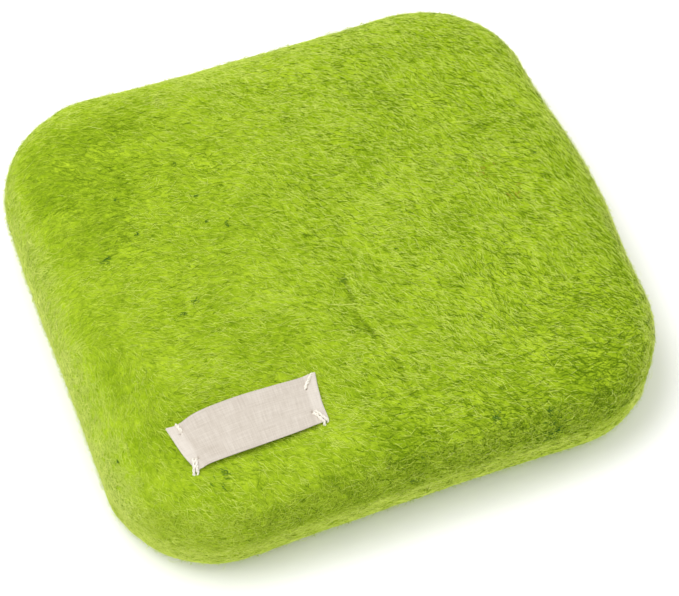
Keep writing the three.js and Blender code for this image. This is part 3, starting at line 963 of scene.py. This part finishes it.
def fleck_fibres(name):
    """Small tufts of other wool that show between the lime fibres."""
    paths = []
    shades = []
    tufts = [(*tuft, shade) for shade, group in FLECKS for tuft in group]
    for x, y, reach, count, shade in tufts:
        for _ in range(count):
            off_x, off_y = random_wool.normal(0, reach, 2)
            place, normal = felt_spot(x + off_x, y + off_y)
            turn = Matrix.Rotation(random_wool.normal(0, 0.7), 3, normal)
            direction = turn @ wool_direction(place, normal)
            length = random_wool.uniform(1, 2.8) * MM
            curl = random_wool.normal(0, 0.8)
            lifts = (-ROOT_DEPTH, 0.3 * MM, 0.4 * MM, -ROOT_DEPTH)
            paths.append(lie_along(place, normal, direction, length, curl, lifts))
            shades.append(shade + random_wool.normal(0, 0.008))
    widths = random_wool.uniform(0.14, 0.26, len(paths)) * MM
    return strands(name, np.array(paths), widths, shades, lime_fibre)


# Single long hairs on the top: place and length in millimetres, and turn in degrees
LONG_HAIRS = [(-61.8, 73.8, 8, -38), (-5.5, -32.2, 14, -21), (-24.5, -1.2, 7, -42), (-21.8, 52.8, 10, -31)]


def long_hairs(name):
    """Pale hairs that lie loose on the felt, one by one."""
    paths = []
    for x, y, length, turn in LONG_HAIRS:
        place, normal = felt_spot(x, y)
        direction = Vector((cos(radians(turn)), sin(radians(turn)), 0))
        lifts = np.array([0, 0.3, 0.45, 0.45, 0.3, 0]) * MM
        paths.append(lie_along(place, normal, direction, length * MM, 0.2, lifts))
    return strands(name, np.array(paths), [0.17 * MM] * len(paths), [PALE_SHADE] * len(paths), lime_fibre)


# Label and stitches


def bow_share(along):
    """Share of the label's full bow along it, highest to the left of the middle."""
    share = min(max(along / LABEL_LENGTH + 0.5, 0), 1)
    return sin(pi * share**0.75) ** 1.3


def label_half_width(along):
    return LABEL_WIDTH / 2 - LABEL_PINCH * (2 * along / LABEL_LENGTH) ** 2


def label_point(along, across, lift):
    """A point of the label, along it, across it and above the felt, as a point of the mat."""
    x = LABEL_X + along * cos(LABEL_TURN) - across * sin(LABEL_TURN)
    y = LABEL_Y + along * sin(LABEL_TURN) + across * cos(LABEL_TURN)
    return Vector((x, y, top_height(x, y) + CLEARANCE + lift))


def stitch_lean(corner):
    """The way that a corner's thread runs over the edge, along and across the label."""
    angle = radians(corner["lean"])
    return Vector((corner["end"] * sin(angle), corner["side"] * cos(angle)))


def stitch_hole(corner):
    """Where a corner's thread comes up, along and across the label."""
    from_end, from_edge = corner["hole"]
    along = corner["end"] * (LABEL_LENGTH / 2 - from_end * MM)
    return Vector((along, corner["side"] * (label_half_width(along) - from_edge * MM)))


# How the label ripples, how its stitches press it down and how their holes dimple it
RIPPLE = 0.12 * MM
PRESS_DEPTH = 0.3 * MM
PRESS_REACH = 2 * MM
DIMPLE_DEPTH = 0.9 * MM
DIMPLE_REACH = 0.42 * MM


def label_rise(along, across):
    """How far the label stands up between its stitches, and how far these press it down."""
    rise = bow_share(along) * (LABEL_BOW + LABEL_TILT * across / LABEL_WIDTH)
    rise += RIPPLE * noise.noise(Vector((along / (9 * MM), across / (6 * MM), 2)))
    for corner in CORNER_STITCHES.values():
        hole = stitch_hole(corner)
        lean = stitch_lean(corner)
        edge = hole + lean * corner["run"][0] * MM
        pierced = hole - lean * 0.4 * MM
        rise -= PRESS_DEPTH * bump(hypot(along - edge.x, across - edge.y), 0, PRESS_REACH)
        rise -= DIMPLE_DEPTH * bump(hypot(along - pierced.x, across - pierced.y), 0, DIMPLE_REACH)
    return rise


LABEL_TOP = 2 * TAPE_THICKNESS + CLEARANCE
PLIES = 2
PLY_RADIUS = 0.34 * MM
PLY_OFFSET = 0.22 * MM
TWIST_LENGTH = 3.2 * MM


def stitch_points(corner):
    """The thread of one corner: up through the hole, tight over the long edge and down into the felt."""
    out = stitch_lean(corner)
    beside = Vector((out.y, -out.x)) * corner["side"]
    hole = stitch_hole(corner)
    edge = corner["run"][0] * MM
    span = edge + corner["run"][1] * MM
    over = LABEL_TOP + PLY_RADIUS + 0.1 * MM
    route = [
        (0, -STITCH_DEPTH, True),
        (0, LABEL_TOP - 0.2 * MM, True),
        (0.16 * edge, over, True),
        (0.55 * edge, over, True),
        (0.97 * edge, over - 0.05 * MM, True),
        (edge + 0.55 * (span - edge), 0.6 * MM, False),
        (span, -0.6 * MM, False),
        (span, -STITCH_DEPTH, False),
    ]
    points = []
    for turn in range(corner["turns"]):
        for reach, lift, on_label in route:
            pitch = STITCH_PITCH * (1 - 0.3 * on_label) + corner["fan"] * MM * reach / span
            place = hole + out * reach + beside * pitch * (turn - (corner["turns"] - 1) / 2)
            rise = label_rise(place.x, place.y) if on_label else 0
            points.append(label_point(place.x, place.y, lift + rise))
    return points


def make_stitch(name, corner, material):
    """Two twisted plies that follow the thread's path."""
    knots = stitch_points(corner)
    steps = 12 * (len(knots) - 1)
    path = [Vector(through_points(knots, step / steps)) for step in range(steps + 1)]
    curve = bpy.data.curves.new(name, "CURVE")
    curve.dimensions = "3D"
    curve.bevel_depth = PLY_RADIUS
    curve.bevel_resolution = 2
    curve.use_fill_caps = True
    lines = []
    for _ in range(PLIES):
        line = curve.splines.new("POLY")
        line.points.add(steps)
        lines.append(line)
    travelled = 0
    frame_side = None
    for step, place in enumerate(path):
        tangent = (path[min(step + 1, steps)] - path[max(step - 1, 0)]).normalized()
        if frame_side is None:
            frame_side = tangent.orthogonal().normalized()
        frame_side = (frame_side - tangent * frame_side.dot(tangent)).normalized()
        frame_up = tangent.cross(frame_side)
        if step:
            travelled += (place - path[step - 1]).length
        for ply, line in enumerate(lines):
            turn = 2 * pi * (travelled / TWIST_LENGTH + ply / PLIES)
            spot = place + (frame_side * cos(turn) + frame_up * sin(turn)) * PLY_OFFSET
            line.points[step].co = (*spot, 1)
    mesh = curve_mesh(curve)
    close_tips(mesh)
    return mesh_piece(name + "_thread", mesh, material)


YARN = 0.4 * MM
WEAVE_RELIEF = 0.05 * MM
HEM_TAPER = 0.05
HEM_TAPER_LENGTH = 2 * MM

# How the stitches draw the label's corners, in millimetres: the end and side, how far in from the end the
# draw is most, how far round it reaches, and the draw along and across the label
CORNER_DRAWS = [
    (-1, -1, 0, 5, Vector((1.3, -0.7))),
    (1, -1, 0, 5, Vector((0.9, 0.4))),
    (-1, 1, 4, 4, Vector((0, -1.2))),
    (1, 1, 0, 3.2, Vector((0.5, 0.9))),
]


def label_place(along, share):
    """A place along and across the finished label: flared to the back, its corners drawn by the stitches."""
    across = share * label_half_width(along)
    flared = along * (1 + LABEL_FLARE * across / (LABEL_LENGTH / 2 * LABEL_WIDTH / 2))
    place = Vector((flared, across))
    for end, side, inward, reach, draw in CORNER_DRAWS:
        drawn_x = end * (LABEL_LENGTH / 2 - inward * MM)
        away = hypot(along - drawn_x, across - side * LABEL_WIDTH / 2)
        place += draw * MM * bump(away, 0, reach * MM)
    return place


def make_label(material):
    """Woven tape with its two ends folded under, bowed up between the stitches."""
    fold_radius = (TAPE_THICKNESS + CLEARANCE) / 2
    fold_x = LABEL_LENGTH / 2 - fold_radius - TAPE_THICKNESS / 2
    fold_length = pi * fold_radius
    half_path = fold_x + fold_length + HEM_LENGTH - fold_radius - TAPE_THICKNESS / 2
    tape = bmesh.new()
    bmesh.ops.create_grid(tape, x_segments=270, y_segments=78, size=1)
    weave = tape.loops.layers.uv.new("OFBake")
    for face in tape.faces:
        for loop in face.loops:
            loop[weave].uv = ((loop.vert.co.x + 1) / 2, (loop.vert.co.y + 1) / 2)
    mid_lift = TAPE_THICKNESS / 2
    for vert in tape.verts:
        path = vert.co.x * half_path
        share = vert.co.y
        over_under = sin(pi * path / YARN) * sin(pi * share * LABEL_WIDTH / 2 / YARN)
        lift = mid_lift + 2 * fold_radius
        along = path
        if abs(path) > fold_x:
            turn = min((abs(path) - fold_x) / fold_radius, pi)
            rest = max(abs(path) - fold_x - fold_length, 0)
            along = copysign(fold_x + fold_radius * sin(turn) - rest, path)
            lift = mid_lift + fold_radius * (1 + cos(turn))
            share *= 1 - HEM_TAPER * min(rest / HEM_TAPER_LENGTH, 1)
        place = label_place(along, share)
        lift += label_rise(along, share * label_half_width(along)) + WEAVE_RELIEF * over_under
        vert.co = label_point(place.x, place.y, lift)
    return wall(new_piece("label_tape_cotton", tape, material), TAPE_THICKNESS, offset=0)


# Stage: floor, light and camera


# Lamps, aimed at the middle of the floor: place and width in metres, and watts
LAMPS = {
    "key": ((-0.55, 0.5, 1.6), 1.3, 14.7),
    "left_side": ((-1.5, 0.05, 0.7), 0.9, 5.2),
    "right_fill": ((1.4, 0.1, 0.6), 1, 3.4),
    "front_fill": ((0.3, -1.4, 0.3), 1, 6),
}
SKY_LIGHT = 0.7
SKY_LIFT = 0.3

# Camera: its turn and rise round the mat's middle, its distance, its lens, and its aim beside the middle
CAMERA_TURN = radians(20.28)
CAMERA_RISE = radians(55.28)
CAMERA_DISTANCE = 767.5 * MM
CAMERA_LENS = 112.36
CAMERA_SENSOR = 36
AIM_RIGHT = 5.72 * MM
AIM_DOWN = 13.34 * MM
MIDDLE_HEIGHT = 20 * MM
NEAREST_SEEN = 10 * MM


def make_floor():
    paper = bmesh.new()
    bmesh.ops.create_grid(paper, x_segments=1, y_segments=1, size=6)
    floor = new_piece("floor", paper, floor_material("white_paper"))


def hang(name, data, place, aim):
    """Puts a lamp or camera at a place and points it at another."""
    holder = put(name, data)
    holder.location = place
    holder.rotation_euler = (aim - holder.location).to_track_quat("-Z", "Y").to_euler()
    return holder


def make_light():
    world = bpy.data.worlds.new("pale_studio")
    world.use_nodes = True
    tree = world.node_tree
    strength = add_math(tree, "MULTIPLY_ADD", seen_rays(tree), SKY_LIFT, SKY_LIGHT)
    fill(tree, tree.nodes["Background"], {"Color": (1, 1, 1, 1), "Strength": strength})
    bpy.context.scene.world = world
    for name, (place, width, watts) in LAMPS.items():
        lamp = bpy.data.lights.new(name, "AREA")
        lamp.shape = "DISK"
        lamp.size = width
        lamp.energy = watts
        hang(name, lamp, place, Vector((0, 0, 0)))


def make_camera():
    middle = BESIDE_ORIGIN + upright * MIDDLE_HEIGHT
    level = Vector((-sin(CAMERA_TURN), -cos(CAMERA_TURN), 0))
    back = level * cos(CAMERA_RISE) + upright * sin(CAMERA_RISE)
    right = Vector((cos(CAMERA_TURN), -sin(CAMERA_TURN), 0))
    up = back.cross(right)
    lens = bpy.data.cameras.new("camera")
    lens.sensor_width = CAMERA_SENSOR
    lens.lens = CAMERA_LENS
    lens.clip_start = NEAREST_SEEN
    aim = middle + right * AIM_RIGHT - up * AIM_DOWN
    bpy.context.scene.camera = hang("camera", lens, middle + back * CAMERA_DISTANCE, aim)


# Making the mat

bpy.context.scene.view_settings.view_transform = "Standard"
make_camera()
make_light()
make_floor()

# The felt under the fibres is darker than they are: partly the wool's colour, partly painted shade for the
# gaps between fibres
lime_felt_with_gap_shade = wool_material("lime_felt_with_gap_shade", srgb(84, 114, 8), srgb(138, 168, 22), srgb(182, 208, 48))
pale_felt = wool_material("pale_felt", srgb(140, 168, 60), srgb(176, 200, 88), srgb(205, 222, 128))
lime_fibre = fibre_material(
    "lime_fibre",
    [
        (0, srgb(88, 122, 8)), (0.3, srgb(148, 179, 34)), (0.5, srgb(195, 219, 63)),
        (LIGHTEST, srgb(230, 242, 132)), (0.82, srgb(52, 100, 32)), (0.88, srgb(76, 126, 40)),
        (0.9, srgb(168, 150, 40)), (0.95, srgb(186, 160, 60)),
    ],
)
foam_cells = foam_material("cream_foam")
cotton = cotton_material("unbleached_cotton")
cream_thread = thread_material("cream_thread")

felt_surface = felted_block()
felt_tree = BVHTree.FromBMesh(felt_surface)

soft_layers = [
    (make_top_left(felt_surface), "top_felt_left", "lime_wool", 0.9),
    (make_top_right(felt_surface), "top_felt_right", "lime_wool", 0.9),
    (make_base(felt_surface), "base_felt", "lime_wool", 0.9),
    (make_wrap("outer_wool_wrap_batt", OUTER_WRAP_SKIN, False), "outer_wool_wrap", "wrap_wool", 0.9),
    (make_wrap("inner_wool_wrap_batt", INNER_WRAP_SKIN, True), "inner_wool_wrap", "wrap_wool", 0.9),
    (new_piece("foam_core_slab", mat_block(*WRAP_CUTS, FOAM_SKIN), foam_cells), "foam_core", "foam", 1),
]
for piece, node, slot, fullness in soft_layers:
    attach(piece, "root")
    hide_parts(node)

facing = [(face, uprightness(face)) for face in felt_surface.faces]
top_faces = [face for face, up in facing if up > SIDE_LIMIT]
side_faces = [face for face, up in facing if UNDER_LIMIT < up <= SIDE_LIMIT]
under_faces = [face for face, up in facing if up <= UNDER_LIMIT]
edge_faces = [face for face, up in facing if UNDER_LIMIT < up < EDGE_LIMIT]
lip_faces = [f for f in side_faces if 2 * MM < f.calc_center_median().z < GROOVE_HEIGHT]
right_faces = [f for f in side_faces if f.normal.x > RIGHT_LIMIT and RIGHT_LOW < f.normal.z < RIGHT_HIGH]
front_faces = [f for f in side_faces if f.normal.y < FRONT_LIMIT and f.calc_center_median().z > GROOVE_HEIGHT]
front_edge_faces = [f for f in edge_faces if f.normal.y < FRONT_LIMIT]
pale_edge_faces = [f for f in edge_faces if f.normal.y >= FRONT_LIMIT]

# pits sets how much painted shade darkens the fibres in the felt's small pits
top = dict(length=5, width=0.16, spread=25, curl=0.35, lift=0.22, points=4, pits=0.35, palest=0.66)
short = dict(length=2.6, width=0.17, spread=34, curl=0.4, lift=0.18, points=3, pits=0.95)
side = dict(length=4.4, width=0.2, spread=48, curl=1.1, lift=0.3, points=4, pits=0.9, palest=0.77)
# Lip fibres lie along the rolled edge; their paler shade is painted light where the edge catches the light
lip = dict(length=7, width=0.22, spread=14, curl=0.5, lift=0.4, points=4, shade=0.22)
front = dict(length=5.5, width=0.15, spread=75, curl=1.8, lift=0.5, points=5, shade=0.12, palest=0.56)
under = dict(length=6, width=0.24, spread=60, curl=0.6, lift=0.05, points=3, pits=0.1)
long_top = dict(length=8, width=0.12, spread=30, curl=0.7, lift=0.3, points=6, shade=0.12)
# The paler fibres on the right side are painted light, from the white floor and from light through their fuzz
right_side_painted_light = dict(length=6, width=0.12, spread=50, curl=1.2, lift=0.9, points=5, shade=0.42, palest=0.78)
# The fringe and stray edge hairs are pale as painted light, for light glowing through fine fuzz at the rim;
# the front fringe keeps a deeper lime
fringe = dict(length=4, width=0.075, stand=1.8, shade=0.76, points=3)
front_fringe = dict(length=4, width=0.08, stand=1.6, shade=0.48, points=3)
stray_edge = dict(length=7, width=0.06, stand=2.6, shade=0.74, points=6)
stray_top = dict(length=7, width=0.05, stand=0.7, shade=0.64, points=6)

fibres = [
    *(felt_fibres(f"top_fibres_{batch}", top_faces, 16000, **top) for batch in (1, 2, 3)),
    felt_fibres("top_short_fibres", top_faces, 29000, **short),
    *(felt_fibres(f"side_fibres_{batch}", side_faces, 13000, **side) for batch in (1, 2)),
    felt_fibres("lip_fibres", lip_faces, 9000, **lip),
    felt_fibres("front_fibres", front_faces, 3600, **front),
    felt_fibres("under_fibres", under_faces, 6000, **under),
    felt_fibres("long_top_fibres", top_faces, 900, **long_top),
    felt_fibres("pale_side_fibres", right_faces, 3600, **right_side_painted_light),
    stray_fibres("fringe_fibres", pale_edge_faces, 24000, **fringe),
    stray_fibres("front_fringe_fibres", front_edge_faces, 7000, **front_fringe),
    stray_fibres("stray_edge_fibres", edge_faces, 1200, **stray_edge),
    stray_fibres("stray_top_fibres", top_faces, 600, **stray_top),
    fleck_fibres("fleck_fibres"),
    long_hairs("long_hairs"),
]
for piece in fibres:
    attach(piece, "root")

label = make_label(cotton)
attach(label, "root")
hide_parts("label_tape")

for name, corner in CORNER_STITCHES.items():
    piece = make_stitch(name, corner, cream_thread)
    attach(piece, "root")
    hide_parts(name)

felt_surface.free()
bpy.data.objects.remove(section_object)
